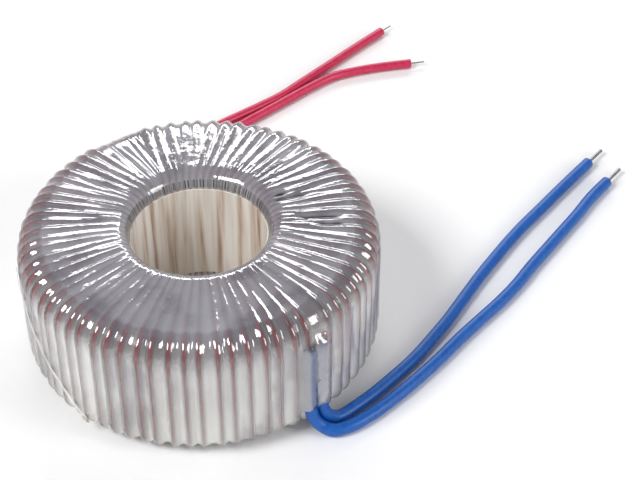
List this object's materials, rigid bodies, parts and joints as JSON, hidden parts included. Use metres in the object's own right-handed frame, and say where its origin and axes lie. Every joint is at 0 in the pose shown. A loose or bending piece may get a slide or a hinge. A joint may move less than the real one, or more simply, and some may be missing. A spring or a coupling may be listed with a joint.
{
  "type": "toroidal transformer",
  "caption": "Toroidal mains transformer wrapped in clear film, with a centre hole for mounting and two pairs of sleeved leads with bare wire ends.",
  "frame": {"origin": "on the axis of the centre hole, in the plane that the lower ridges of the film stand on", "axes": "+Z along the axis of the centre hole, upwards; the blue leads leave the wall between +X and -Y"},
  "size_m": [0.1503, 0.168, 0.0345],
  "materials": {
    "core_steel": "grain-oriented silicon steel strip, bare",
    "core_cap": "moulded insulating plastic",
    "core_tape": "adhesive insulating tape",
    "primary_wire": "enamelled copper wire, close wound",
    "inner_film": "many layers of clear polyester film",
    "secondary_wire": "red enamelled copper wire",
    "outer_film": "shiny clear polyester film, wrapped taut over the turns",
    "film_lining": "clear polyester film, overlapped many times",
    "blue_sleeve": "smooth satin insulating sleeve",
    "red_sleeve": "smooth satin insulating sleeve",
    "tinned_wire": "tinned copper wire"
  },
  "bodies": {
    "root": {"core": "core_steel", "core_cap_top": "core_cap", "core_cap_bottom": "core_cap", "core_outer_tape": "core_tape", "core_inner_tape": "core_tape", "primary_winding": "primary_wire", "interwinding_film": "inner_film", "secondary_winding_1": "secondary_wire", "secondary_winding_2": "secondary_wire", "outer_film": "outer_film", "film_lining": "film_lining", "film_end_strip": "outer_film", "blue_sleeve_1": "blue_sleeve", "blue_sleeve_2": "blue_sleeve", "red_sleeve_1": "red_sleeve", "red_sleeve_2": "red_sleeve", "blue_wire_end_1": "tinned_wire", "blue_wire_end_2": "tinned_wire", "red_wire_end_1": "tinned_wire", "red_wire_end_2": "tinned_wire"}
  },
  "joints": []
}
